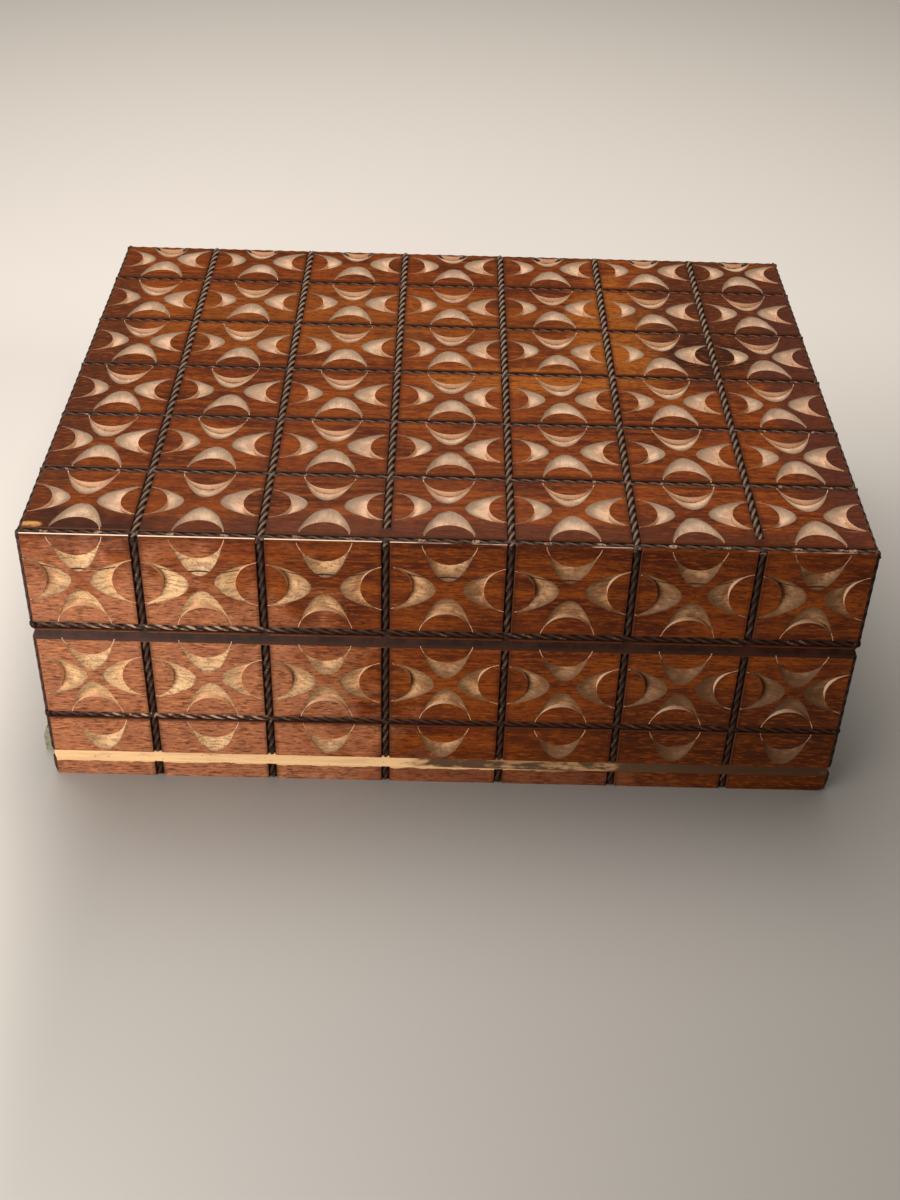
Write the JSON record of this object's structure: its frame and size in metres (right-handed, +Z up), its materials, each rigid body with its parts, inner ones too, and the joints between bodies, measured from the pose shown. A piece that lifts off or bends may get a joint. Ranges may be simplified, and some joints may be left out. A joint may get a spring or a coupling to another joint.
{
  "type": "carved wooden box with a hidden tray",
  "caption": "Low wooden box with a hinged lid, chip-carved with crescents between twisted-rope lines, and a shallow tray that slides out of its base.",
  "frame": {"origin": "middle of the face that the box stands on, midway between its two sides and between its front and back", "axes": "+X along the front to the right, +Y from the front to the back, +Z up"},
  "size_m": [0.153, 0.1168, 0.0565],
  "materials": {
    "stained_wood": "red-brown stain under clear lacquer, carved places left bare",
    "plain_wood": "planed and left bare",
    "brass": "dull rolled brass",
    "steel": "plain wire nails"
  },
  "bodies": {
    "box": {"body_front_wall": "stained_wood", "body_back_wall": "stained_wood", "body_left_wall": "stained_wood", "body_right_wall": "stained_wood", "floor_panel": "plain_wood", "tray_stop_pin": "steel", "left_hinge_body_leaf": "brass", "right_hinge_body_leaf": "brass", "left_hinge_pin": "brass", "right_hinge_pin": "brass", "body_hinge_nail_1": "steel", "body_hinge_nail_2": "steel", "body_hinge_nail_3": "steel", "body_hinge_nail_4": "steel", "base_front_strip": "stained_wood", "base_back_strip": "stained_wood", "base_right_strip": "stained_wood"},
    "lid": {"lid_top_board": "stained_wood", "lid_front_rail": "stained_wood", "lid_back_rail": "stained_wood", "lid_left_rail": "stained_wood", "lid_right_rail": "stained_wood", "left_hinge_lid_leaf": "brass", "right_hinge_lid_leaf": "brass", "lid_hinge_nail_1": "steel", "lid_hinge_nail_2": "steel", "lid_hinge_nail_3": "steel", "lid_hinge_nail_4": "steel"},
    "tray": {"tray_board": "plain_wood", "tray_end_strip": "stained_wood"}
  },
  "joints": [
    {"name": "lid_hinge", "type": "hinge", "parent": "box", "child": "lid", "pos_m": [0, 0.0573, 0.03525], "axis": [-1, 0, 0], "range_deg": [0, 105]},
    {"name": "tray_slide", "type": "slide", "parent": "box", "child": "tray", "axis": [-1, 0, 0], "range_m": [-0.003, 0.06]}
  ]
}
